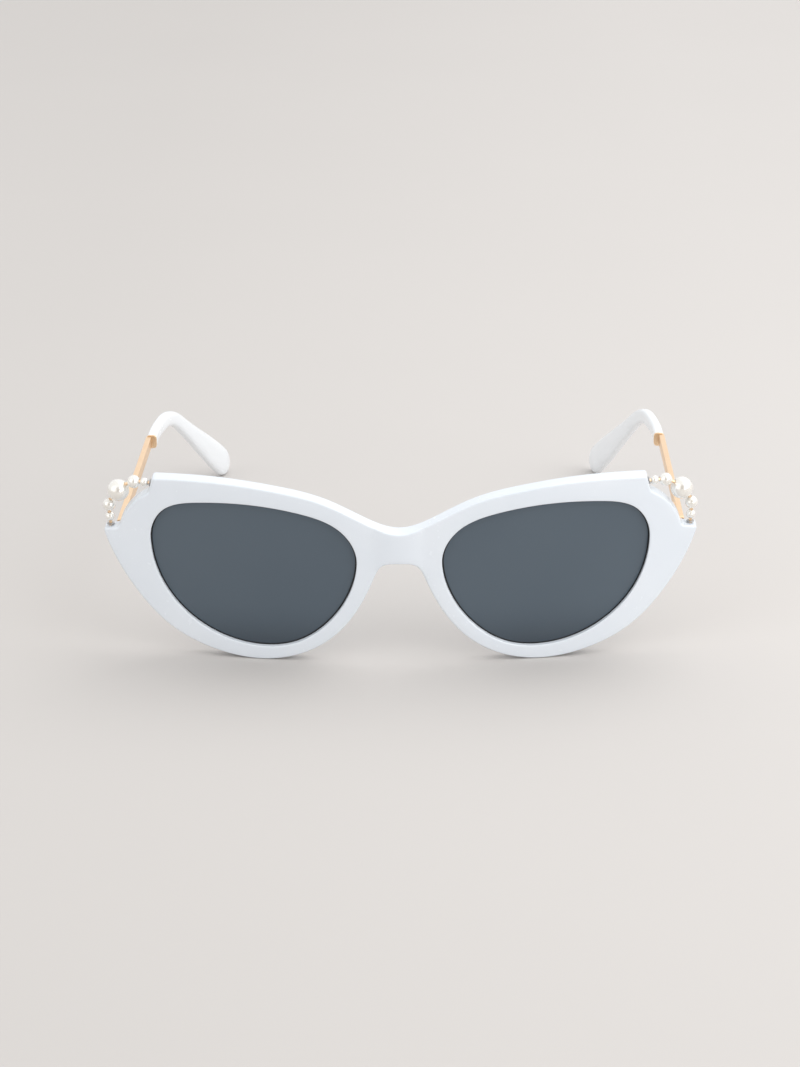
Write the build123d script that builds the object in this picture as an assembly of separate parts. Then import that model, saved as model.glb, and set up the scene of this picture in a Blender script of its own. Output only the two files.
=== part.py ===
from build123d import *
import os
from math import radians, sin, sqrt

# Cat eye sunglasses with pearl-bead corners, at rest with both arms open, millimetres.
# +X is the wearer's left, +Y runs back along the arms and +Z is up. The origin is the middle of
# the resting footprint: the two rims and the two arm tips stand on z = 0.
# The front is drawn in its own plane, x across and v up, and then wrapped, tilted and lowered.

DEPTH_MIDDLE = 71.0       # the middle of the whole depth, back from the front's face

# Front
FACE_RADIUS = 250.0       # plan radius of the wrapped front face
FRONT_THICKNESS = 4.2
FRONT_TILT = 4.0          # the top of the front leans forward, degrees
CORNER_ROUND = 0.9
BRIDGE_HALF_WIDTH = 5.9   # between the two soft creases beside the bridge
BRIDGE_PROUD = 0.8        # how far the bridge stands ahead of the face
RIM_BOTTOM_X = 34.0       # where each rim touches the surface it stands on
NOTCH_MIDDLE = (65.3, 38.6)       # a point of the round notch for the pearls
LEDGE_INNER = (68.5, 32.3)        # the notch's floor, from the notch out to the end of the front
LEDGE_OUTER = (72.4, 31.6)
WALL_BOTTOM = (60.6, 42.3)        # the notch's steep inner wall, down from the top edge
WALL_TOP = (59.6, 46.3)
BEYOND_END = 76.0         # across, just past each end of the front
BELOW_FRONT = -10.0
ABOVE_FRONT = 60.0

# Moulded nose pads
PAD_SIZE = (3.8, 7.6, 12.5)
PAD_ROUND = 1.8
PAD_PLACE = (11.2, 4.4, 14.5)
PAD_TURN = -28.0          # the pads open towards the back, degrees
PAD_LEAN = -25.0          # and towards the bottom, degrees

# Lenses
LENS_MIDDLE = (35.5, 22.4)
LENS_HALF_WIDTH = 25.2
LENS_HALF_HEIGHT = 18.9
LENS_DEPTH = 1.2          # lens face behind the rim's face
LENS_THICKNESS = 2.0
LENS_BITE = 0.6           # how far the lens edge enters the rim
LENS_EDGE_GAP = 0.05

# Hinges
HINGE_X = 66.4
HINGE_Y = 15.6
HINGE_Z = 31.4
KNUCKLE_RADIUS = 1.45
KNUCKLE_HEIGHT = 1.6
KNUCKLE_GAP = 0.05
FOOT_HALF_WIDTH = 1.4
FOOT_FRONT_Y = 9.6
FOOT_BACK_Y = 12.6
SCREW_RADIUS = 0.7
SCREW_CLEARANCE = 0.03
SCREW_HEAD_RADIUS = 1.25
SCREW_HEAD_HEIGHT = 0.6
SLOT_WIDTH = 0.35
SLOT_DEPTH = 0.3
WEB_FRONT = 0.6           # the arm knuckle's web, ahead of the hinge axis
WEB_BACK = 3.2            # and behind it
LEAF_THICKNESS = 0.7
LEAF_START = 4.6          # distances along the bar
LEAF_END = 12.0
LEAF_HALF_HEIGHT = 1.3

# Arms
ARM_START = (68.8, 12.8, 31.4)    # middle of the bar's front end
ARM_FALL = 1.01           # the arms drop a little going back, degrees
BAR_THICKNESS = 1.5
BAR_HEIGHT = 3.0
BAR_LENGTH = 68.2
COLLAR_LENGTH = 0.8
CORE_RADIUS = 0.6
TURN_START = 70.8         # distances along the arm from its front end
BEND_START = 86.2
BEND_END = 100.7
CORE_END = 131.0
HOOK = 34.5               # how far the tip hooks down behind the ear, degrees
TIP_TURN = 17.5           # and turns in towards the head, degrees
TIP_THICKNESS = 2.75
TIP_OFFSET = 0.7          # middle of the tip, inward of the middle of the bar
TIP_HEIGHT_START = 3.6
TIP_HEIGHT_BEND = 4.05    # where the tip starts to hook down
TIP_HEIGHT_END = 8.1      # the paddle, just before its rounded end
PADDLE_START = 98.0
TIP_END = 142.5
TIP_ROUNDING = 6.0        # length of the rounded end
SECTION_ROUNDING = 0.42   # corner radius of the tip's section, as a share of its smaller side
STATION_STEP = 3.0
HEADING_STEP = 0.5

# Pearls: across, up, diameter, from the upper end of the wire to the lower one
PEARL_DEPTH = 2.1
PEARLS = {
    "upper_small_pearl": (61.65, 44.25, 2.15),
    "upper_medium_pearl": (64.35, 44.1, 3.2),
    "large_pearl": (68.4, 41.4, 5.4),
    "lower_medium_pearl": (70.9, 37.3, 3.15),
    "lower_small_pearl": (70.85, 34.2, 2.3),
}
WIRE_RADIUS = 0.4
WIRE_ENDS = [(58.6, 44.3), (70.7, 30.2)]      # inside the front, beyond the wall and the ledge
WIRE_BENDS = [20, 4, 5, 4, 20]    # radius of the wire's bend inside each pearl
CAP_RADIUS = 0.95
CAP_THICKNESS = 0.35
UPPER_CAP = (60.31, 44.3)
WALL_LEAN = 14.0          # the notch wall leans out going down, degrees
LOWER_CAP = (70.75, 32.35)


# Front face

def face_y(x, depth):
    """How far back the wrapped front lies at x, at a depth behind its face."""
    return FACE_RADIUS - sqrt((FACE_RADIUS - depth) ** 2 - x * x)


def front_pose():
    """Leans the front forward and sets its rims on z = 0."""
    drop = face_y(RIM_BOTTOM_X, 0) * sin(radians(FRONT_TILT))
    return Pos(0, 0, -drop) * Rot(FRONT_TILT, 0, 0)


def layer(near, far):
    """The part of space between two depths behind the front face."""
    outer = Cylinder(FACE_RADIUS - near, ABOVE_FRONT - BELOW_FRONT)
    inner = Cylinder(FACE_RADIUS - far, ABOVE_FRONT - BELOW_FRONT)
    return Pos(0, FACE_RADIUS, (ABOVE_FRONT + BELOW_FRONT) / 2) * (outer - inner)


def upright(shape, ahead=10, behind=30):
    """Pulls an outline drawn in x and v right through the front."""
    return extrude(Plane.XZ * shape, amount=ahead) + extrude(Plane.XZ * shape, amount=-behind)


def both_sides(points):
    """Half an outline from the middle out, with its mirror image, from -X to +X."""
    return [(-x, v) for x, v in reversed(points[1:])] + points


def front_outline():
    """The front's outer edge, with a notch for the pearls at each upper corner."""
    top = Spline(
        both_sides([(0, 34.7), (8, 37.2), (18, 42.1), (30, 45.0), (44, 46.5), WALL_TOP]),
        tangents=[(1, 0.06), (1, -0.06)],
    )
    lower = Spline(
        both_sides([
            (0, 26.8), (4.2, 26.0), (6.1, 22.9), (8.2, 18.1), (12, 11.6), (18, 5.4), (26, 1.3),
            (34, 0), (46, 1.9), (56, 6.8), (64, 15), (70, 25), LEDGE_OUTER,
        ]),
        tangents=[(0.25, -1), (0.25, 1)],
    )
    wall = Line(WALL_TOP, WALL_BOTTOM)
    notch = ThreePointArc(WALL_BOTTOM, NOTCH_MIDDLE, LEDGE_INNER)
    ledge = Line(LEDGE_INNER, LEDGE_OUTER)
    corner = [wall, notch, ledge]
    face = make_face([top, lower, *corner, *[mirror(e, about=Plane.YZ) for e in corner]])
    return fillet(face.vertices(), CORNER_ROUND)


def aperture(grow=0):
    """The lens opening of the rim at +X, grown all round by about a distance."""
    nose_side = (10.3, 27)
    temple_side = (60.65, 30.5)
    above = [(57.4, 38.0), (48, 40.9), (36, 41.1), (24, 39.35), (14, 34.8)]
    below = [(12, 19), (18, 10), (26, 4.7), (34, 3.55), (42, 5), (50, 9.2), (56, 15.4), (60, 24.5)]
    middle_x, middle_v = LENS_MIDDLE
    across = 1 + grow / LENS_HALF_WIDTH
    upward = 1 + grow / LENS_HALF_HEIGHT

    def grown(points):
        return [
            (middle_x + (x - middle_x) * across, middle_v + (v - middle_v) * upward)
            for x, v in points
        ]

    upper = Spline(grown([temple_side, *above, nose_side]), tangents=[(0, 1), (0, -1)])
    lower = Spline(grown([nose_side, *below, temple_side]), tangents=[(0, -1), (0, 1)])
    return make_face([upper, lower])


def front_slab():
    """The wrapped front seen from above, with the fuller bridge, pulled up to full height."""
    crease = (BRIDGE_HALF_WIDTH, face_y(BRIDGE_HALF_WIDTH, 0))
    between = (BEYOND_END / 2, face_y(BEYOND_END / 2, 0))
    outer = ThreePointArc(crease, between, (BEYOND_END, face_y(BEYOND_END, 0)))
    side = Line(outer @ 1, (BEYOND_END, face_y(BEYOND_END, FRONT_THICKNESS)))
    bridge = ThreePointArc((-crease[0], crease[1]), (0, -BRIDGE_PROUD), crease)
    back_end = side @ 1
    back = ThreePointArc(back_end, (0, FRONT_THICKNESS), (-back_end.X, back_end.Y))
    halves = [mirror(e, about=Plane.YZ) for e in (outer, side)]
    plan = make_face([bridge, outer, side, back, *halves])
    return Pos(0, 0, BELOW_FRONT) * extrude(plan, amount=ABOVE_FRONT - BELOW_FRONT)


def nose_pad():
    """The moulded pad on the back of the rim at +X."""
    pad = Box(*PAD_SIZE)
    pad = fillet(pad.edges(), PAD_ROUND)
    return Pos(*PAD_PLACE) * Rot(0, 0, PAD_TURN) * Rot(0, PAD_LEAN, 0) * pad


def lens(edge_gap=0):
    """The lens at +X. With no gap it is the groove in the rim that holds the lens."""
    shape = upright(aperture(LENS_BITE - edge_gap))
    return shape & layer(LENS_DEPTH, LENS_DEPTH + LENS_THICKNESS)


def front_blank():
    """The wrapped front with two lens openings and moulded nose pads."""
    opening = upright(aperture())
    blank = front_slab() & upright(front_outline())
    blank = blank - opening - mirror(opening, about=Plane.YZ)
    pad = nose_pad()
    return blank + pad + mirror(pad, about=Plane.YZ)


# Pearl corner

def at_front(x, v, depth=PEARL_DEPTH):
    """A point of the front, before it is tilted."""
    return (x, face_y(x, depth), v)


def pearl_wire():
    """The curved wire that threads the pearls, with both ends inside the front."""
    beads = [at_front(x, v) for x, v, _ in PEARLS.values()]
    ends = [at_front(x, v) for x, v in WIRE_ENDS]
    path = FilletPolyline(ends[0], *beads, ends[1], radius=WIRE_BENDS)
    start = Plane(origin=path @ 0, z_dir=path % 0)
    return sweep(start * Circle(WIRE_RADIUS), path=path)


def pearl(x, v, diameter):
    """One bead, before it is drilled for the wire."""
    return Pos(*at_front(x, v)) * Rot(0, -45, 0) * Rot(90, 0, 0) * Sphere(diameter / 2)


def wire_cap(x, v, turn):
    """The small disc where the wire enters the front, lying across the wire."""
    return Pos(*at_front(x, v)) * Rot(0, turn, 0) * Cylinder(CAP_RADIUS, CAP_THICKNESS)


# Hinges

def at_hinge(shape, up=0):
    """Sets a shape on the hinge axis at +X, raised by a height."""
    return Pos(HINGE_X, HINGE_Y, HINGE_Z + up) * shape


def box_between(low, high):
    """A box from one corner to the opposite one."""
    size = [b - a for a, b in zip(low, high)]
    middle = [(a + b) / 2 for a, b in zip(low, high)]
    return Pos(*middle) * Box(*size)


def screw_hole():
    return at_hinge(Cylinder(SCREW_RADIUS + SCREW_CLEARANCE, 4 * KNUCKLE_HEIGHT))


def hinge_screw():
    """A slotted screw through all three knuckles."""
    half = 1.5 * KNUCKLE_HEIGHT + KNUCKLE_GAP
    shank = at_hinge(Cylinder(SCREW_RADIUS, 2 * half))
    head = at_hinge(Cylinder(SCREW_HEAD_RADIUS, SCREW_HEAD_HEIGHT), half + SCREW_HEAD_HEIGHT / 2)
    slot = Box(2 * SCREW_HEAD_RADIUS + 1, SLOT_WIDTH, SLOT_DEPTH)
    slot = at_hinge(slot, half + SCREW_HEAD_HEIGHT - SLOT_DEPTH / 2)
    return shank + head - slot


def hinge_foot():
    """The block of the front hinge that is set into a pocket in the back of the front."""
    return box_between(
        (HINGE_X - FOOT_HALF_WIDTH, FOOT_FRONT_Y, HINGE_Z - 1.5 * KNUCKLE_HEIGHT - KNUCKLE_GAP),
        (HINGE_X + FOOT_HALF_WIDTH, FOOT_BACK_Y, HINGE_Z + 1.5 * KNUCKLE_HEIGHT + KNUCKLE_GAP),
    )


def front_hinge():
    """The foot with its upper and lower knuckles."""
    part = hinge_foot()
    for side in (-1, 1):
        up = side * (KNUCKLE_HEIGHT + KNUCKLE_GAP)
        part += at_hinge(Cylinder(KNUCKLE_RADIUS, KNUCKLE_HEIGHT), up)
        reach = HINGE_Y - FOOT_BACK_Y
        part += Pos(0, -reach / 2, 0) * at_hinge(
            Box(2 * KNUCKLE_RADIUS, reach, KNUCKLE_HEIGHT), up
        )
    return part - screw_hole()


def arm_pose():
    """From the arm's own frame, with +Y along the bar, to the open arm at +X."""
    return Pos(*ARM_START) * Rot(-ARM_FALL, 0, 0)


def arm_hinge(bar):
    """The middle knuckle with a web and a leaf soldered to the inner face of the bar."""
    part = at_hinge(Cylinder(KNUCKLE_RADIUS, KNUCKLE_HEIGHT))
    part += box_between(
        (HINGE_X, HINGE_Y - WEB_FRONT, HINGE_Z - KNUCKLE_HEIGHT / 2),
        (ARM_START[0], HINGE_Y + WEB_BACK, HINGE_Z + KNUCKLE_HEIGHT / 2),
    )
    inner = -BAR_THICKNESS / 2
    part += arm_pose() * box_between(
        (inner - LEAF_THICKNESS, LEAF_START, -LEAF_HALF_HEIGHT), (inner, LEAF_END, LEAF_HALF_HEIGHT)
    )
    return part - bar - screw_hole()


# Arms

def bar_body():
    """The flat gold bar, in place at +X."""
    half_thickness = BAR_THICKNESS / 2
    low = (-half_thickness, 0, -BAR_HEIGHT / 2)
    high = (half_thickness, BAR_LENGTH, BAR_HEIGHT / 2)
    return arm_pose() * box_between(low, high)


def share_between(distance, start, end):
    """How far a distance is from start to end, held between 0 and 1."""
    return min(max((distance - start) / (end - start), 0), 1)


def eased(share):
    """Rises gently from 0 to 1 and levels out at both ends."""
    return share * share * (3 - 2 * share)


def along_arm(distance):
    """The place and heading of the tip's centre line at a distance along the arm."""
    spot = Vector(-TIP_OFFSET, 0, 0)
    gone = 0.0
    while True:
        turned = TIP_TURN * share_between(gone, TURN_START, BEND_END)
        hooked = HOOK * share_between(gone, BEND_START, BEND_END)
        heading = Rot(0, 0, turned) * Rot(-hooked, 0, 0)
        if gone >= distance:
            return Pos(*spot) * heading
        ahead = min(HEADING_STEP, distance - gone)
        spot += (heading * Pos(0, ahead, 0)).position
        gone += ahead


def lofted(sections):
    """A solid through flat sections, each given with its distance along the arm."""
    flat = [along_arm(d) * (Plane.XZ * shape) for d, shape in sections]
    return arm_pose() * loft(flat, ruled=True)


def stations(start, end):
    """Even distances along the arm, about one step apart."""
    count = round((end - start) / STATION_STEP)
    return [start + (end - start) * i / count for i in range(count + 1)]


def core_wire():
    """The round wire that carries on from the bar inside the tip."""
    return lofted([(d, Circle(CORE_RADIUS)) for d in stations(BAR_LENGTH, CORE_END)])


def collar():
    """The thin gold ferrule between the bar and the tip."""
    high = TIP_HEIGHT_START / 2
    wide = TIP_THICKNESS / 2
    ring = box_between(
        (-TIP_OFFSET - wide, BAR_LENGTH, -high),
        (-TIP_OFFSET + wide, BAR_LENGTH + COLLAR_LENGTH, high),
    )
    return arm_pose() * ring


def tip_section(distance):
    """The tip's rounded section, which widens to a paddle and closes at its rounded end."""
    thickening = eased(share_between(distance, BAR_LENGTH + COLLAR_LENGTH, BEND_START))
    widening = eased(share_between(distance, PADDLE_START, TIP_END - TIP_ROUNDING))
    height = TIP_HEIGHT_START
    height += (TIP_HEIGHT_BEND - TIP_HEIGHT_START) * thickening
    height += (TIP_HEIGHT_END - TIP_HEIGHT_BEND) * widening
    past = max(distance - (TIP_END - TIP_ROUNDING), 0) / TIP_ROUNDING
    closing = sqrt(1 - past * past)
    width = TIP_THICKNESS * closing ** 0.5
    height *= closing
    return RectangleRounded(width, height, SECTION_ROUNDING * min(width, height))


def arm_tip():
    """The white sleeve that hooks down behind the ear and widens to a paddle."""
    start = BAR_LENGTH + COLLAR_LENGTH
    straight = stations(start, TIP_END - TIP_ROUNDING)
    rounded = [TIP_END - TIP_ROUNDING * (1 - f) for f in (0.35, 0.6, 0.8, 0.92, 0.985)]
    return lofted([(d, tip_section(d)) for d in straight + rounded])


# Everything at +X, and the front across the middle

def left_side():
    """The named pieces of the side at +X."""
    pose = front_pose()
    wire = pearl_wire()
    pieces = {"pearl_wire": pose * wire}
    for name, spot in PEARLS.items():
        pieces[name] = pose * (pearl(*spot) - wire)
    pieces["upper_wire_cap"] = pose * (wire_cap(*UPPER_CAP, 90 - WALL_LEAN) - wire)
    pieces["lower_wire_cap"] = pose * (wire_cap(*LOWER_CAP, 0) - wire)
    pieces["lens"] = pose * lens(LENS_EDGE_GAP)
    pieces["front_hinge"] = front_hinge()
    pieces["hinge_screw"] = hinge_screw()
    bar = bar_body()
    core = core_wire()
    pieces["arm_hinge"] = arm_hinge(bar)
    pieces["arm_bar"] = bar + core
    pieces["arm_collar"] = collar() - core
    pieces["arm_tip"] = arm_tip() - core
    return pieces


def front_frame():
    """The moulded front with its lens grooves, hinge pockets and wire holes."""
    cuts = [lens(), pearl_wire()]
    front = front_blank()
    for cut in cuts:
        front = front - cut - mirror(cut, about=Plane.YZ)
    front = front_pose() * front
    foot = hinge_foot()
    return front - foot - mirror(foot, about=Plane.YZ)


nodes = {"front_frame": front_frame()}
for name, piece in left_side().items():
    nodes[name + "_left"] = piece
    nodes[name + "_right"] = mirror(piece, about=Plane.YZ)

os.makedirs("parts", exist_ok=True)
for name, piece in nodes.items():
    export_step(Pos(0, -DEPTH_MIDDLE, 0) * piece, f"parts/{name}.step")
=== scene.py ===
from math import asin, cos, pi, radians, sin, sqrt

import bmesh
import bpy
import numpy as np
from mathutils import Matrix, Vector
from mathutils.geometry import delaunay_2d_cdt


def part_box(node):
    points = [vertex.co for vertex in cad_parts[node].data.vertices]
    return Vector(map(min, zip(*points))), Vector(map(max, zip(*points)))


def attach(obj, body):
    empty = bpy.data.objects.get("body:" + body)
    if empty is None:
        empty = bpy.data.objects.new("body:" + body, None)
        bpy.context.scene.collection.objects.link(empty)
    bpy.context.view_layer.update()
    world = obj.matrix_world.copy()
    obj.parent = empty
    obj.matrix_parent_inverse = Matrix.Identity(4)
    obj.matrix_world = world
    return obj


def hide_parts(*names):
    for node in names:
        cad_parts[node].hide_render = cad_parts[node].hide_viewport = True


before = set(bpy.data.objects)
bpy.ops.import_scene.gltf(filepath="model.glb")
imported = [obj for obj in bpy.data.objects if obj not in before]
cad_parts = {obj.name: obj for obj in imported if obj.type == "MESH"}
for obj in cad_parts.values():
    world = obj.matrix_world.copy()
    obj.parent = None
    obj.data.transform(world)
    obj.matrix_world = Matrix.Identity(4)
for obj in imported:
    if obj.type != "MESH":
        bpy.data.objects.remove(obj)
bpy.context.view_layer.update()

# Shapes are worked out in millimetres and turned into metres when a mesh is made.
# The front is drawn flat, x across and v up, with a depth behind its face, and then wrapped and
# tilted. The arms are drawn in their own frame, with y along the bar.
MM = 0.001
SIDES = {"left": 1, "right": -1}      # the wearer's left is at +X

FACE_RADIUS = 250.0
FRONT_THICKNESS = 4.2
FRONT_TILT = radians(4.0)
RIM_BOTTOM_X = 34.0
BRIDGE_HALF_WIDTH = 5.9
BRIDGE_PROUD = 0.8
BRIDGE_TOP = 34.7
WALL_TOP = (59.6, 46.3)               # the steep inner wall of the notch for the pearls
WALL_BOTTOM = (60.6, 42.3)
NOTCH_MIDDLE = (65.3, 38.6)
LEDGE_INNER = (68.5, 32.3)            # the notch's floor, out to the end of the front
LEDGE_OUTER = (72.4, 31.6)
CORNER_CUT = 0.8                      # cut off both lines at each corner of the outline
EDGE_ROUND = 0.5
LIP_ROUND = 0.3                       # the much sharper edge round each lens opening
FRONT_GRID = 1.4                      # spacing of the points inside a plate's flat sides
LENS_GRID = 2.0

PAD_X, PAD_V = 9.8, 14.5              # middle of each nose pad
PAD_LEAN = radians(28)                # it follows the slope of the nose
PAD_HALF_LENGTH = 9.0
PAD_HALF_WIDTH = (3.5, 6.0)           # full height up to the first, none past the second
PAD_RISE = (0.3, 3.2)                 # it rises between these distances from the lens opening
PAD_HEIGHT = 4.6
PAD_CROWN = 1.5                       # how soon its ends fall away
PAD_SPLAY = 0.35

LENS_DEPTH = 1.2
LENS_THICKNESS = 2.0
LENS_BITE = 0.6
LENS_EDGE_GAP = 0.06
LENS_SLIT = 0.02
LENS_SEAT_SHADE = 0.30                    # width of the painted shade along the lens seat, the dark line seen round each lens
LENS_BEVEL = (0.12, 0.15)             # its broken edge, inward and back
LENS_CROWN = (0.01, 0.03)             # its face falls by these, at the seat and at the bevel

BAR_START = (68.8, 12.8, 31.4)
BAR_THICKNESS = 1.5
BAR_HEIGHT = 3.0
BAR_LENGTH = 68.2
ARM_FALL = radians(1.01)
COLLAR_LENGTH = 0.8
TURN_START, BEND_START, BEND_END = 70.8, 86.2, 100.7
HOOK = radians(34.5)
TIP_TURN = radians(17.5)
TIP_THICKNESS = 2.75
TIP_OFFSET = 0.7
TIP_HEIGHT_START, TIP_HEIGHT_BEND, TIP_HEIGHT_END = 3.6, 4.05, 8.1
PADDLE_START = 98.0
TIP_END = 142.45                      # a hair inside the solid's own end
TIP_ROUNDING = 6.0
TIP_POWER, COLLAR_POWER, BAR_POWER = 2.9, 4, 9    # from round to nearly square sections
TIP_STEP = 1.5
TIP_END_STEPS = 14
TIP_MOUTH = 0.2                       # length of the tip's rounded mouth against the ferrule
TIP_MOUTH_CUT = 0.16
HEADING_STEP = 0.5
HAIR = 0.004                          # short of the very end, where a section would vanish

PEARL_DEPTH = 2.1
PEARLS = {
    "upper_small_pearl": (61.65, 44.25, 2.15),
    "upper_medium_pearl": (64.35, 44.1, 3.2),
    "large_pearl": (68.4, 41.4, 5.4),
    "lower_medium_pearl": (70.9, 37.3, 3.15),
    "lower_small_pearl": (70.85, 34.2, 2.3),
}
WIRE_RADIUS = 0.4
WIRE_START, WIRE_END = (58.9, 44.35), (70.7, 30.4)    # inside the notch wall and the ledge
WIRE_STEP = 0.3
HOLE_GAP = 0.08                       # round the wire where it enters a bead
HOLE_SINK = 0.12                      # depth of the hole's small countersink
HOLE_TAPER = 0.95
CAP_PROFILE = [(0.85, -0.17), (0.93, -0.12), (0.95, 0), (0.9, 0.09), (0.75, 0.15), (0.5, 0.17)]
UPPER_CAP = (60.31, 44.3)
LOWER_CAP = (70.75, 32.35)
WALL_LEAN = radians(14)

# The face's own zero of y, found from the front's foremost point, the top of the bridge.
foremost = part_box("front_frame")[0].y / MM
FACE_Y = foremost + BRIDGE_PROUD * cos(FRONT_TILT) + BRIDGE_TOP * sin(FRONT_TILT)


# Flat curves

def smooth_curve(points, start=None, end=None, step=0.5):
    """A smooth line through points, with headings at its ends, sampled every step or so."""
    p = np.array(points, float)
    gaps = np.linalg.norm(np.diff(p, axis=0), axis=1)
    n = len(p)
    rows, want = np.zeros((n, n)), np.zeros((n, 2))
    for i in range(1, n - 1):
        a, b = gaps[i - 1], gaps[i]
        rows[i, i - 1:i + 2] = b, 2 * (a + b), a
        want[i] = 3 * (b * (p[i] - p[i - 1]) / a + a * (p[i + 1] - p[i]) / b)
    for i, j, heading in ((0, 1, start), (n - 1, n - 2, end)):
        if heading is None:
            rows[i, i], rows[i, j] = 2, 1
            want[i] = 3 * (p[1] - p[0]) / gaps[0] if i == 0 else 3 * (p[-1] - p[-2]) / gaps[-1]
        else:
            rows[i, i] = 1
            want[i] = np.array(heading, float) / np.linalg.norm(heading)
    slope = np.linalg.solve(rows, want)
    line = []
    for i, gap in enumerate(gaps):
        for t in np.arange(0, 1, 1 / max(2, round(gap / step))):
            along, turn = t * t * (3 - 2 * t), t * (1 - t)
            line.append(
                p[i] * (1 - along) + p[i + 1] * along
                + gap * turn * ((1 - t) * slope[i] - t * slope[i + 1])
            )
    return np.array(line + [p[-1]])


def arc_through(a, b, c, count=16):
    """Points on the circle through three points, from the first to the last."""
    (ax, ay), (bx, by), (cx, cy) = a, b, c
    d = 2 * (ax * (by - cy) + bx * (cy - ay) + cx * (ay - by))
    a2, b2, c2 = ax * ax + ay * ay, bx * bx + by * by, cx * cx + cy * cy
    middle = np.array([
        (a2 * (by - cy) + b2 * (cy - ay) + c2 * (ay - by)) / d,
        (a2 * (cx - bx) + b2 * (ax - cx) + c2 * (bx - ax)) / d,
    ])
    first, last = np.array(a) - middle, np.array(c) - middle
    sweep = asin((first[0] * last[1] - first[1] * last[0]) / (first @ first))
    turns = sweep * np.linspace(0, 1, count)
    ends = np.stack([np.cos(turns), np.sin(turns)], 1)
    across = np.array([-first[1], first[0]])
    return middle + ends[:, :1] * first + ends[:, 1:] * across


def trimmed(line, length):
    """A line with a length cut off each end."""
    far = np.concatenate([[0], np.cumsum(np.linalg.norm(np.diff(line, axis=0), axis=1))])
    keep = (far > length) & (far < far[-1] - length)
    ends = [[np.interp(s, far, line[:, k]) for k in (0, 1)] for s in (length, far[-1] - length)]
    return np.vstack([ends[0], line[keep], ends[1]])


def rounded_loop(lines, cut, steps=8):
    """A closed loop from lines that meet end to end, with each corner cut back and rounded."""
    parts = [trimmed(line, cut) for line in lines]
    loop = []
    for i, part in enumerate(parts):
        following = parts[(i + 1) % len(parts)]
        corner = lines[i][-1]
        t = np.linspace(0, 1, steps + 1)[1:-1, None]
        bend = (1 - t) ** 2 * part[-1] + 2 * t * (1 - t) * corner + t * t * following[0]
        loop += [part, bend]
    return np.vstack(loop)


def mirrored(line):
    return (line * [-1, 1])[::-1]


def front_outline():
    """The front's outer edge, anticlockwise, with a notch for the pearls at each upper corner."""
    below = [
        (0, 26.8), (4.2, 26.0), (6.1, 22.9), (8.2, 18.1), (12, 11.6), (18, 5.4), (26, 1.3),
        (34, 0), (46, 1.9), (56, 6.8), (64, 15), (70, 25), LEDGE_OUTER,
    ]
    above = [WALL_TOP, (44, 46.5), (30, 45.0), (18, 42.1), (8, 37.2), (0, BRIDGE_TOP)]
    lower = smooth_curve(below, (1, 0), (0.25, 1))
    ledge = smooth_curve([LEDGE_OUTER, LEDGE_INNER])
    notch = arc_through(LEDGE_INNER, NOTCH_MIDDLE, WALL_BOTTOM)
    wall = smooth_curve([WALL_BOTTOM, WALL_TOP])
    top = smooth_curve(above, (-1, 0.06), (-1, 0))
    lower = np.vstack([mirrored(lower), lower[1:]])
    top = np.vstack([top, mirrored(top)[1:]])
    corner = [ledge, notch, wall]
    other_corner = [mirrored(line) for line in corner[::-1]]
    return rounded_loop([lower, *corner, top, *other_corner], CORNER_CUT)


def aperture(grow=0):
    """The lens opening at +X, anticlockwise, grown all round by about a distance."""
    nose_side, temple_side = (10.3, 27), (60.65, 30.5)
    above = [(57.4, 38.0), (48, 40.9), (36, 41.1), (24, 39.35), (14, 34.8)]
    below = [(12, 19), (18, 10), (26, 4.7), (34, 3.55), (42, 5), (50, 9.2), (56, 15.4), (60, 24.5)]
    upper = smooth_curve([temple_side, *above, nose_side], (0, 1), (0, -1))
    lower = smooth_curve([nose_side, *below, temple_side], (0, -1), (0, 1))
    loop = np.vstack([upper[:-1], lower[:-1]])
    return pushed(loop, -grow) if grow else loop


def pushed(loop, inward):
    """An anticlockwise loop moved inward by a distance, along its own normals."""
    heading = np.roll(loop, -1, 0) - np.roll(loop, 1, 0)
    heading /= np.linalg.norm(heading, axis=1)[:, None]
    return loop + np.stack([-heading[:, 1], heading[:, 0]], 1) * inward


# Meshes

def make_piece(name, shape, body, node, material, smooth=40, weld=1e-7):
    """An object in metres that rides a body and stands for a CAD node."""
    vertices, faces, *seat_shade = shape
    mesh = bpy.data.meshes.new(name)
    mesh.from_pydata([tuple(v * MM for v in p) for p in vertices], [], faces)
    # The optional per-point value is the painted dark shade along a lens seat.
    if seat_shade:
        mesh.attributes.new("seat_shade", "FLOAT", "POINT").data.foreach_set("value", seat_shade[0])
    work = bmesh.new()
    work.from_mesh(mesh)
    bmesh.ops.remove_doubles(work, verts=work.verts, dist=weld)
    bmesh.ops.recalc_face_normals(work, faces=work.faces)
    for face in work.faces:
        face.smooth = True
    for edge in work.edges:
        if len(edge.link_faces) == 2 and edge.calc_face_angle(0) > radians(smooth):
            edge.smooth = False
    work.to_mesh(mesh)
    work.free()
    piece = bpy.data.objects.new(name, mesh)
    bpy.context.scene.collection.objects.link(piece)
    mesh.materials.append(material)
    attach(piece, body)
    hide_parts(node)
    return piece


def inside(points, loop):
    """Which of some points lie inside a loop."""
    hit = np.zeros(len(points), bool)
    for (x0, v0), (x1, v1) in zip(loop, np.roll(loop, -1, 0)):
        crosses = (v0 > points[:, 1]) != (v1 > points[:, 1])
        if crosses.any():
            hit ^= crosses & (points[:, 0] < x0 + (points[:, 1] - v0) / (v1 - v0) * (x1 - x0))
    return hit


def on_plate(points, outer, holes):
    """Which of some points lie inside a loop and outside its holes."""
    kept = inside(points, outer)
    for hole in holes:
        kept &= ~inside(points, hole)
    return kept


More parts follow.
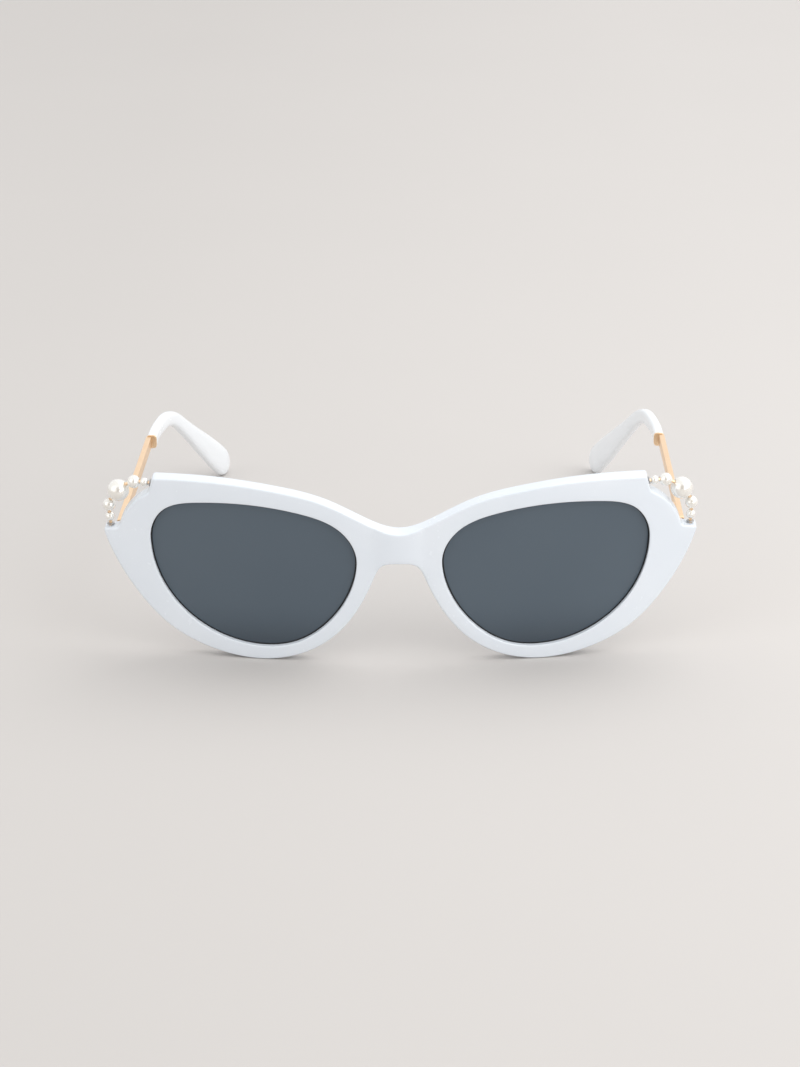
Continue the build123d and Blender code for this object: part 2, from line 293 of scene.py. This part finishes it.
def grid_inside(outer, holes, spacing, row_share=0.87, clear_share=0.6):
    """Evenly spread points on a plate with holes, clear of all its edges."""
    low, high = outer.min(0), outer.max(0)
    rows = enumerate(np.arange(low[1], high[1], spacing * row_share))
    across = np.arange(low[0], high[0], spacing)
    grid = np.array([(x + k % 2 * spacing / 2, v) for k, v in rows for x in across])
    grid = grid[on_plate(grid, outer, holes)]
    edge = np.vstack([outer, *holes])
    far = np.array([np.linalg.norm(edge - point, axis=1).min() for point in grid])
    return grid[far > spacing * clear_share]


def plate(outer, holes, outer_profile, hole_profile, spacing):
    """A plate with holes. A profile is a list of (inset, depth) from its front to its back."""
    vertices, faces = [], []

    def wall(loop, profile):
        rings = []
        for inset, depth in profile:
            ring = pushed(loop, inset)
            start = len(vertices)
            vertices.extend((x, v, depth) for x, v in ring)
            rings.append((start, ring))
        count = len(loop)
        for (a, _), (b, _) in zip(rings, rings[1:]):
            faces.extend(
                (a + i, a + (i + 1) % count, b + (i + 1) % count, b + i) for i in range(count)
            )
        return rings[0], rings[-1]

    walls = [wall(outer, outer_profile)]
    walls += [wall(hole, [(-inset, depth) for inset, depth in hole_profile]) for hole in holes]
    for end in (0, 1):
        loops = [w[end] for w in walls]
        depth = vertices[loops[0][0]][2]
        ids = [start + i for start, ring in loops for i in range(len(ring))]
        flat = [Vector(p) for _, ring in loops for p in ring]
        edges, offset = [], 0
        for _, ring in loops:
            n = len(ring)
            edges += [(offset + i, offset + (i + 1) % n) for i in range(n)]
            offset += n
        inner = grid_inside(loops[0][1], [ring for _, ring in loops[1:]], spacing)
        flat += [Vector(p) for p in inner]
        out, _, triangles, origins, _, _ = delaunay_2d_cdt(flat, edges, [], 1, 1e-6)
        new_ids = []
        for point, source in zip(out, origins):
            if source and source[0] < len(ids):
                new_ids.append(ids[source[0]])
            else:
                new_ids.append(len(vertices))
                vertices.append((point.x, point.y, depth))
        middles = np.array([[sum(out[i][k] for i in t) / 3 for k in (0, 1)] for t in triangles])
        kept = on_plate(middles, loops[0][1], [ring for _, ring in loops[1:]])
        faces.extend(tuple(new_ids[i] for i in t) for t, keep in zip(triangles, kept) if keep)
    return vertices, faces


def rounded_profile(thickness, radius, steps=6):
    """A plate's edge from front to back, rounded at both."""
    quarter = [radius * (1 - sin(pi / 2 * k / steps)) for k in range(steps + 1)]
    depth = [radius * (1 - cos(pi / 2 * k / steps)) for k in range(steps + 1)]
    front = list(zip(quarter, depth))
    return front + [(inset, thickness - d) for inset, d in front[::-1]]


def wrapped(x, v, depth):
    """A point of the flat front where it lies on the wrapped and tilted one."""
    y = FACE_RADIUS - sqrt((FACE_RADIUS - depth) ** 2 - x * x)
    tilt_cos, tilt_sin = cos(FRONT_TILT), sin(FRONT_TILT)
    drop = (FACE_RADIUS - sqrt(FACE_RADIUS ** 2 - RIM_BOTTOM_X ** 2)) * tilt_sin
    return Vector((x, FACE_Y + y * tilt_cos - v * tilt_sin, y * tilt_sin + v * tilt_cos - drop))


def bridge_bulge(x):
    """How far the bridge stands ahead of the face at x, between its two creases."""
    if abs(x) >= BRIDGE_HALF_WIDTH:
        return 0
    crease = BRIDGE_HALF_WIDTH ** 2 / (2 * FACE_RADIUS)
    rise = BRIDGE_PROUD + crease
    radius = (BRIDGE_HALF_WIDTH ** 2 + rise ** 2) / (2 * rise)
    return BRIDGE_PROUD - radius + sqrt(radius ** 2 - x * x) + x * x / (2 * FACE_RADIUS)


def share_between(value, low, high):
    """How far a value is from low to high, held between 0 and 1."""
    return min(max((value - low) / (high - low), 0), 1)


def smoothly(value, low, high):
    """Rises from 0 at low to 1 at high with no corner at either."""
    t = share_between(value, low, high)
    return t * t * (3 - 2 * t)


def nose_pad_height(x, v, clear):
    """How far the moulded nose pads swell from the back, clear millimetres from the opening."""
    up, out = v - PAD_V, abs(x) - PAD_X
    along = (up * cos(PAD_LEAN) - out * sin(PAD_LEAN)) / PAD_HALF_LENGTH
    across = up * sin(PAD_LEAN) + out * cos(PAD_LEAN)
    fade = smoothly(clear, *PAD_RISE) * (1 - smoothly(abs(across), *PAD_HALF_WIDTH))
    return PAD_HEIGHT * max(0, 1 - along ** 2) ** PAD_CROWN * fade


def moulded_front():
    """The front as one moulded piece, with rounded edges, lens grooves and nose pads."""
    edge = rounded_profile(FRONT_THICKNESS, EDGE_ROUND)
    lip = rounded_profile(FRONT_THICKNESS, LIP_ROUND)
    middle = len(lip) // 2
    lens_back = LENS_DEPTH + LENS_THICKNESS
    groove = [
        (0, LENS_DEPTH - LENS_SLIT), (LENS_BITE, LENS_DEPTH - LENS_SLIT),
        (LENS_BITE, lens_back + LENS_SLIT), (0, lens_back + LENS_SLIT),
    ]
    hole = aperture()
    rim = lip[:middle] + groove + lip[middle:]
    flat, faces = plate(front_outline(), [hole, mirrored(hole)], edge, rim, FRONT_GRID)
    spots = np.array([(abs(x), v) for x, v, _ in flat])
    clear = [np.linalg.norm(hole - spot, axis=1).min() for spot in spots]
    vertices = []
    for (x, v, depth), gap in zip(flat, clear):
        ahead = bridge_bulge(x) * max(0, 1 - depth / FRONT_THICKNESS)
        pad = nose_pad_height(x, v, gap) * smoothly(depth, lens_back, FRONT_THICKNESS)
        outward = PAD_SPLAY * pad * (1 if x > 0 else -1)
        vertices.append(wrapped(x + outward, v, depth + pad - ahead))
    return vertices, faces


def lens_shape(side):
    """A lens with slightly broken edges and a ring of faces round its edge, which carries the
    painted shade of its seat.
    """
    seat, blend = LENS_BITE + LENS_SEAT_SHADE, 0.08
    bevel_in, bevel_back = LENS_BEVEL
    at_seat, at_bevel = LENS_CROWN
    front = [(seat + blend, 0), (seat, at_seat), (bevel_in, at_bevel), (0, bevel_back)]
    profile = front + [(inset, LENS_THICKNESS - depth) for inset, depth in front[::-1]]
    loop = aperture(LENS_BITE - LENS_EDGE_GAP)
    if side < 0:
        loop = mirrored(loop)
    flat, faces = plate(loop, [], profile, [], LENS_GRID)
    # Painted shade: the rings between the lens face and its edge get 1, a dark line standing in for
    # the shadow in the lens seat.
    seat_shade = [float(len(loop) <= i < len(loop) * (len(profile) - 1)) for i in range(len(flat))]
    return [wrapped(x, v, LENS_DEPTH + depth) for x, v, depth in flat], faces, seat_shade


def turned(profile, pose, count=40):
    """A turned solid from (radius, height) pairs, closed at both ends on its own axis."""
    vertices = [pose @ Vector((0, 0, profile[0][1]))]
    faces = []
    for radius, height in profile:
        for k in range(count):
            a = 2 * pi * k / count
            vertices.append(pose @ Vector((radius * cos(a), radius * sin(a), height)))
    vertices.append(pose @ Vector((0, 0, profile[-1][1])))
    last = len(vertices) - 1
    for k in range(count):
        after = (k + 1) % count
        faces.append((0, 1 + after, 1 + k))
        faces.append((last, last - count + k, last - count + after))
        for ring in range(len(profile) - 1):
            a, b = 1 + ring * count, 1 + (ring + 1) * count
            faces.append((a + k, a + after, b + after, b + k))
    return vertices, faces


def facing(place, heading):
    """A pose whose own z runs along a heading."""
    turn = Vector(heading).to_track_quat("Z", "Y")
    return Matrix.Translation(place) @ turn.to_matrix().to_4x4()


def pearl_line(side):
    """The wire's line through the pearls, from inside the notch wall to inside the ledge."""
    spots = [WIRE_START, *[(x, v) for x, v, _ in PEARLS.values()], WIRE_END]
    line = smooth_curve(spots, step=WIRE_STEP)
    return [wrapped(side * x, v, PEARL_DEPTH) for x, v in line]


def tube(line, radius, count=14):
    """A round wire along a line."""
    vertices, faces = [], []
    for i, point in enumerate(line):
        heading = line[min(i + 1, len(line) - 1)] - line[max(i - 1, 0)]
        pose = facing(point, heading)
        for k in range(count):
            a = 2 * pi * k / count
            vertices.append(pose @ Vector((radius * cos(a), radius * sin(a), 0)))
    for i in range(len(line) - 1):
        for k in range(count):
            a, b, after = i * count, (i + 1) * count, (k + 1) % count
            faces.append((a + k, a + after, b + after, b + k))
    faces.append(tuple(range(count))[::-1])
    faces.append(tuple(len(vertices) - count + k for k in range(count)))
    return vertices, faces


def pearl_shape(side, name, steps=26):
    """A drilled bead, its hole slightly countersunk where the wire goes in."""
    x, v, diameter = PEARLS[name]
    radius, hole = diameter / 2, WIRE_RADIUS + HOLE_GAP
    place = wrapped(side * x, v, PEARL_DEPTH)
    line = pearl_line(side)
    nearest = min(range(len(line)), key=lambda i: (line[i] - place).length)
    heading = line[nearest + 1] - line[nearest - 1]
    start = asin(hole / radius)
    turns = [start + (pi - 2 * start) * k / steps for k in range(steps + 1)]
    sunk = radius * cos(start) - HOLE_SINK
    profile = [(radius * sin(a), -radius * cos(a)) for a in turns]
    profile = [(hole * HOLE_TAPER, -sunk), *profile, (hole * HOLE_TAPER, sunk)]
    return turned(profile, facing(place, heading), 48)


def cap_shape(side, spot, heading):
    """A small domed disc that covers the hole where the wire goes in."""
    x, v = spot
    pose = facing(wrapped(side * x, v, PEARL_DEPTH), (side * heading[0], 0, heading[1]))
    return turned(CAP_PROFILE, pose, 32)


def arm_pose(side):
    """From the arm's own frame to the open arm."""
    x, y, z = BAR_START
    place = Matrix.Translation((side * x, y + FACE_Y, z))
    return place @ Matrix.Rotation(-ARM_FALL, 4, "X")


def along_arm(distance, side):
    """The place and heading of the tip's middle line at a distance along the arm."""
    spot, gone = Vector((-side * TIP_OFFSET, 0, 0)), 0.0
    while True:
        turned_in = TIP_TURN * share_between(gone, TURN_START, BEND_END)
        hooked = HOOK * share_between(gone, BEND_START, BEND_END)
        heading = Matrix.Rotation(side * turned_in, 4, "Z") @ Matrix.Rotation(-hooked, 4, "X")
        if gone >= distance - 1e-6:
            return Matrix.Translation(spot) @ heading
        ahead = min(HEADING_STEP, distance - gone)
        spot = spot + heading @ Vector((0, ahead, 0))
        gone += ahead


def superellipse(width, height, power, count=44):
    """A section in x and z, between an ellipse and a rectangle."""
    points = []
    for k in range(count):
        a = 2 * pi * k / count
        c, s = cos(a), sin(a)
        x = abs(c) ** (2 / power) * (1 if c > 0 else -1) * width / 2
        z = abs(s) ** (2 / power) * (1 if s > 0 else -1) * height / 2
        points.append(Vector((x, 0, z)))
    return points


def lofted(sections, poses):
    """A solid through sections of the same number of points, closed at both ends."""
    vertices = [pose @ p for section, pose in zip(sections, poses) for p in section]
    count = len(sections[0])
    faces = []
    for i in range(len(sections) - 1):
        a, b = i * count, (i + 1) * count
        faces += [(a + k, a + (k + 1) % count, b + (k + 1) % count, b + k) for k in range(count)]
    faces.append(tuple(range(count))[::-1])
    faces.append(tuple((len(sections) - 1) * count + k for k in range(count)))
    return vertices, faces


def tip_shape(side):
    """The moulded tip: a rounded sleeve that widens to a paddle with a round end."""
    start = BAR_LENGTH + COLLAR_LENGTH
    rounding = TIP_END - TIP_ROUNDING
    stops = [start, start + 0.4 * TIP_MOUTH, start + TIP_MOUTH]
    stops += list(np.arange(start + TIP_STEP, rounding, TIP_STEP))
    turns = [pi / 2 * k / TIP_END_STEPS for k in range(TIP_END_STEPS)]
    stops += [rounding + TIP_ROUNDING * sin(turn) for turn in turns]
    stops += [TIP_END - HAIR]
    sections, poses = [], []
    for distance in stops:
        height = TIP_HEIGHT_START
        height += (TIP_HEIGHT_BEND - TIP_HEIGHT_START) * smoothly(distance, start, BEND_START)
        widening = smoothly(distance, PADDLE_START, rounding)
        height += (TIP_HEIGHT_END - TIP_HEIGHT_BEND) * widening
        past = max(distance - rounding, 0) / TIP_ROUNDING
        closing = sqrt(1 - past * past)
        shy = TIP_MOUTH_CUT * max(0, 1 - (distance - start) / TIP_MOUTH)
        width = TIP_THICKNESS * closing ** 0.5 - shy
        sections.append(superellipse(width, height * closing - shy, TIP_POWER))
        poses.append(arm_pose(side) @ along_arm(distance, side))
    return lofted(sections, poses)


def bar_shape(side):
    """The flat bar with softly broken edges and a slight step at its front end."""
    stops = [(0, 0.25), (0.12, 0.08), (0.3, 0)]
    stops += [(y, 0) for y in np.linspace(2, BAR_LENGTH - 0.01, 24)]
    sections = [
        superellipse(BAR_THICKNESS - shy, BAR_HEIGHT - shy, BAR_POWER, 64) for _, shy in stops
    ]
    poses = [arm_pose(side) @ Matrix.Translation((0, y, 0)) for y, _ in stops]
    return lofted(sections, poses)


def collar_shape(side):
    """The thin ferrule, rounded at both rims."""
    stops = [(0, 0.14), (0.06, 0.04), (0.14, 0), (0.66, 0), (0.74, 0.04), (COLLAR_LENGTH, 0.14)]
    sections = [
        superellipse(TIP_THICKNESS - shy, TIP_HEIGHT_START - shy, COLLAR_POWER) for _, shy in stops
    ]
    poses = [
        arm_pose(side) @ Matrix.Translation((-side * TIP_OFFSET, BAR_LENGTH + y, 0))
        for y, _ in stops
    ]
    return lofted(sections, poses)


# Materials

class Socket:
    """A shader value that can be used in sums."""

    def __init__(self, paint, socket):
        self.paint, self.socket = paint, socket

    def sum(self, operation, a, b):
        return self.paint.node("ShaderNodeMath", {"operation": operation}, {0: a, 1: b})

    def __add__(self, other):
        return self.sum("ADD", self, other)

    __radd__ = __add__

    def __sub__(self, other):
        return self.sum("SUBTRACT", self, other)

    def __rsub__(self, other):
        return self.sum("SUBTRACT", other, self)

    def __mul__(self, other):
        return self.sum("MULTIPLY", self, other)

    __rmul__ = __mul__


class Paint:
    """A material and its nodes."""

    def __init__(self, name):
        self.material = bpy.data.materials.new(name)
        self.material.use_nodes = True
        self.tree = self.material.node_tree
        self.shader = self.tree.nodes["Principled BSDF"]
        self.place = self.node("ShaderNodeTexCoord", output="Object")

    def set(self, socket, value):
        if isinstance(value, Socket):
            self.tree.links.new(value.socket, socket)
        else:
            socket.default_value = value

    def node(self, kind, settings=None, values=None, output=0):
        made = self.tree.nodes.new(kind)
        for name, value in (settings or {}).items():
            setattr(made, name, value)
        for name, value in (values or {}).items():
            self.set(made.inputs[name], value)
        return Socket(self, made.outputs[output])

    def along(self, axis):
        """The place's own value along X, Y or Z, in metres."""
        return self.node("ShaderNodeSeparateXYZ", {}, {0: self.place}, axis)

    def noise(self, per_metre, detail=2.0, roughness=0.5):
        values = {"Vector": self.place, "Scale": per_metre, "Detail": detail, "Roughness": roughness}
        return self.node("ShaderNodeTexNoise", {}, values, "Fac")

    def between(self, share, low, high):
        """A colour between two, by a share from 0 to 1."""
        low, high = [c if isinstance(c, Socket) else (*c, 1) for c in (low, high)]
        values = {0: share, 6: low, 7: high}
        return self.node("ShaderNodeMix", {"data_type": "RGBA"}, values, 2)

    def clipped(self, value, low, high):
        """A value stretched from low and high to 0 and 1, and held there."""
        values = {"Value": value, "From Min": low, "From Max": high}
        return self.node("ShaderNodeMapRange", {"clamp": True}, values, "Result")

    def bump(self, height, metres, strength=1.0):
        values = {"Height": height, "Distance": metres, "Strength": strength}
        self.set(self.shader.inputs["Normal"], self.node("ShaderNodeBump", {}, values, "Normal"))

    def finish(self, **values):
        for name, value in values.items():
            self.set(self.shader.inputs[name.replace("_", " ")], value)
        return self.material


def white_plastic(name, low, high):
    """Polished moulded plastic: a faint flow variation and a very soft ripple."""
    paint = Paint(name)
    flow = paint.clipped(paint.noise(45, 3), 0.35, 0.65)
    speck = paint.clipped(paint.noise(900, 2), 0.62, 0.75)
    colour = paint.between(flow, low, high)
    paint.bump(paint.noise(260, 2) + 0.15 * paint.noise(2200, 2), 0.00002, 0.5)
    paint.finish(Base_Color=colour, Roughness=0.2 + 0.06 * flow + 0.05 * speck)
    return paint.finish(IOR=1.49, Coat_Weight=0.35, Coat_Roughness=0.08, Specular_IOR_Level=0.5)


def lens_tint():
    """Dark grey-blue tinted plastic, with painted shade making it darker towards the bottom and a
    painted dark shade line round its seat.
    """
    paint = Paint("lens_tint")
    cloud = paint.clipped(paint.noise(25, 2), 0.3, 0.7)
    # Painted shade: the tint darkens towards the bottom of the lens, standing in for the darker
    # reflection near the floor.
    low = 1 - paint.clipped(paint.along("Z"), 0.004, 0.016)
    # Painted shade: a near-black, rougher line along the lens seat, standing in for the shadow
    # there.
    seat_shade = paint.node("ShaderNodeAttribute", {"attribute_name": "seat_shade"}, {}, "Fac")
    tint = paint.between(cloud, (0.076, 0.102, 0.130), (0.082, 0.109, 0.137))
    tint = paint.between(low * low, tint, (0.048, 0.064, 0.082))
    paint.bump(paint.noise(60, 1), 0.00001, 0.3)
    paint.finish(Base_Color=paint.between(seat_shade, tint, (0.004, 0.005, 0.007)))
    return paint.finish(Roughness=0.07 + 0.03 * cloud + 0.4 * seat_shade, IOR=1.5, Alpha=0.96)


def gold_plate():
    """Light gold plate with faint polishing lines along the arm and a little wear."""
    paint = Paint("gold_plate")
    stretched = paint.node(
        "ShaderNodeMapping", {}, {"Vector": paint.place, "Scale": (1800, 40, 1800)}, "Vector"
    )
    lines = paint.node(
        "ShaderNodeTexNoise", {}, {"Vector": stretched, "Scale": 1.0, "Detail": 2.0}, "Fac"
    )
    wear = paint.clipped(paint.noise(260, 3, 0.6), 0.45, 0.75)
    colour = paint.between(wear, (0.95, 0.70, 0.46), (0.92, 0.66, 0.43))
    paint.bump(lines, 0.000002, 0.3)
    return paint.finish(Base_Color=colour, Metallic=1.0, Roughness=0.3 + 0.06 * lines + 0.04 * wear)


def screw_steel():
    """Small machined steel, with turning marks."""
    paint = Paint("screw_steel")
    grain = paint.noise(3000, 3)
    colour = paint.between(grain, (0.34, 0.33, 0.33), (0.48, 0.47, 0.46))
    paint.bump(grain, 0.00001, 0.4)
    return paint.finish(Base_Color=colour, Metallic=1.0, Roughness=0.25 + 0.15 * grain)


def pearl_lacquer():
    """Pearl lacquer: bright and lustrous, with faint clouds and a fine uneven surface."""
    paint = Paint("pearl_lacquer")
    cloud = paint.clipped(paint.noise(500, 3), 0.35, 0.65)
    colour = paint.between(cloud, (0.84, 0.815, 0.76), (0.90, 0.885, 0.85))
    paint.bump(paint.noise(1400, 2), 0.00002, 0.3)
    paint.finish(Base_Color=colour, Roughness=0.16 + 0.06 * cloud, Metallic=0.45 + 0.1 * cloud)
    return paint.finish(Coat_Weight=0.6, Coat_Roughness=0.05, Coat_IOR=1.6, IOR=1.6)


# The front's copy of the white plastic is darker and bluer than the tips': painted shade for its
# camera-facing face.
WHITE_FRONT_SHADED = white_plastic("white_front_plastic_painted_shade", (0.705, 0.755, 0.815), (0.735, 0.780, 0.835))
WHITE_TIP = white_plastic("white_tip_plastic", (0.82, 0.85, 0.88), (0.85, 0.875, 0.90))
LENS_TINT = lens_tint()
GOLD = gold_plate()
STEEL = screw_steel()
PEARL = pearl_lacquer()


# The object

make_piece("moulded_front", moulded_front(), "front", "front_frame", WHITE_FRONT_SHADED)
for name, side in SIDES.items():
    lean = (cos(WALL_LEAN), sin(WALL_LEAN))
    wire = tube(pearl_line(side), WIRE_RADIUS)
    upper_disc = cap_shape(side, UPPER_CAP, lean)
    lower_disc = cap_shape(side, LOWER_CAP, (0, 1))
    shapes = [
        ("tinted_lens", lens_shape(side), "front", "lens", "grey_lens", LENS_TINT),
        ("bead_wire", wire, "front", "pearl_wire", "gold", GOLD),
        ("upper_wire_disc", upper_disc, "front", "upper_wire_cap", "steel_screw", STEEL),
        ("lower_wire_disc", lower_disc, "front", "lower_wire_cap", "steel_screw", STEEL),
        ("gold_bar", bar_shape(side), f"{name}_arm", "arm_bar", "gold", GOLD),
        ("ferrule", collar_shape(side), f"{name}_arm", "arm_collar", "gold", GOLD),
        ("hooked_tip", tip_shape(side), f"{name}_arm", "arm_tip", "white_tip", WHITE_TIP),
    ]
    for bead in PEARLS:
        shapes.append((f"drilled_{bead}", pearl_shape(side, bead), "front", bead, "pearl", PEARL))
    for piece, shape, body, node, slot_name, material in shapes:
        make_piece(f"{piece}_{name}", shape, body, f"{node}_{name}", material)
    for node, material in (("front_hinge", GOLD), ("arm_hinge", GOLD), ("hinge_screw", STEEL)):
        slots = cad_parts[f"{node}_{name}"].data.materials
        slots.clear()
        slots.append(material)


# Camera, light and floor

def camera():
    """Looks down on the front from far off, a little to its left side."""
    azimuth, elevation, roll = radians(1.26), radians(20.3), radians(-0.673)
    distance, focal_share = 0.670, 2.609
    target = Vector((0.00022, FACE_Y * MM, 0.03363))
    back = Vector((sin(azimuth) * cos(elevation), -cos(azimuth) * cos(elevation), sin(elevation)))
    right = (-back).cross(Vector((0, 0, 1))).normalized()
    up = right.cross(-back)
    turned_right = cos(roll) * right + sin(roll) * up
    turned_up = cos(roll) * up - sin(roll) * right
    data = bpy.data.cameras.new("camera")
    data.sensor_width = 36
    data.lens = focal_share * data.sensor_width
    data.clip_start, data.clip_end = 0.01, 100
    eye = bpy.data.objects.new("camera", data)
    rotation = Matrix((turned_right, turned_up, back)).transposed().to_4x4()
    eye.matrix_world = Matrix.Translation(target + back * distance) @ rotation
    bpy.context.scene.collection.objects.link(eye)
    bpy.context.scene.camera = eye


def area_light(name, place, target, size, watts, colour):
    data = bpy.data.lights.new(name, "AREA")
    data.shape, data.size, data.energy, data.color = "DISK", size, watts, colour
    light = bpy.data.objects.new(name, data)
    turn = (Vector(target) - Vector(place)).to_track_quat("-Z", "Y")
    light.matrix_world = Matrix.Translation(place) @ turn.to_matrix().to_4x4()
    bpy.context.scene.collection.objects.link(light)


def floor():
    """A plain pale floor that fills the view, with painted light making it a little brighter to the
    right and the back.
    """
    mesh = bpy.data.meshes.new("floor")
    far = 12
    corners = [(-far, -far, 0), (far, -far, 0), (far, far, 0), (-far, far, 0)]
    mesh.from_pydata(corners, [], [(0, 1, 2, 3)])
    plane = bpy.data.objects.new("floor", mesh)
    bpy.context.scene.collection.objects.link(plane)
    paint = Paint("floor_paper_painted_light")
    # Painted light: the paper colour brightens towards the right and the back, standing in for the
    # lamps' falloff.
    painted_light_right = paint.clipped(paint.along("X"), -0.12, 0.12)
    painted_light_back = paint.clipped(paint.along("Y"), -0.25, -0.05)
    share = 0.45 * painted_light_right + 0.4 * painted_light_back + 0.15 * paint.noise(6, 3)
    paint.finish(Base_Color=paint.between(share, (0.512, 0.490, 0.472), (0.612, 0.587, 0.568)))
    mesh.materials.append(paint.finish(Roughness=0.9, Specular_IOR_Level=0.1))


def sky():
    """Even soft light from all round, with the dim room behind the camera."""
    towards_room = (0, -0.94, 0.34)
    room_edge, room_middle = cos(radians(36)), cos(radians(14))
    bright, dim = (0.985, 0.993, 1.0, 1), (0.36, 0.31, 0.26, 1)
    world = bpy.data.worlds.new("studio")
    world.use_nodes = True
    tree = world.node_tree
    place = tree.nodes.new("ShaderNodeTexCoord")
    facing_room = tree.nodes.new("ShaderNodeVectorMath")
    facing_room.operation = "DOT_PRODUCT"
    facing_room.inputs[1].default_value = towards_room
    patch = tree.nodes.new("ShaderNodeMapRange")
    patch.interpolation_type = "SMOOTHSTEP"
    patch.inputs["From Min"].default_value = room_edge
    patch.inputs["From Max"].default_value = room_middle
    mix = tree.nodes.new("ShaderNodeMix")
    mix.data_type = "RGBA"
    mix.inputs[6].default_value = bright
    mix.inputs[7].default_value = dim
    background = tree.nodes["Background"]
    background.inputs["Strength"].default_value = 0.99
    tree.links.new(place.outputs["Generated"], facing_room.inputs[0])
    tree.links.new(facing_room.outputs["Value"], patch.inputs["Value"])
    tree.links.new(patch.outputs["Result"], mix.inputs[0])
    tree.links.new(mix.outputs[2], background.inputs["Color"])
    bpy.context.scene.world = world


bpy.context.scene.view_settings.view_transform = "Standard"
camera()
floor()
sky()
# name, place, target, diameter, watts and colour
LIGHTS = [
    ("overhead", (0.9, 0.9, 1.8), (0, 0.1, 0), 2.2, 13, (1, 0.995, 0.99)),
    ("right_key", (0.95, -0.55, 0.75), (0, 0, 0.02), 1.5, 7.5, (1, 0.997, 0.995)),
    ("left_fill", (-0.8, -0.9, 0.5), (0, 0, 0.02), 1.5, 3.2, (1, 0.997, 0.995)),
    ("front_card", (0.42, -0.75, 0.14), (0, -0.07, 0.03), 0.28, 0.8, (1, 0.995, 0.99)),
]
for light in LIGHTS:
    area_light(*light)
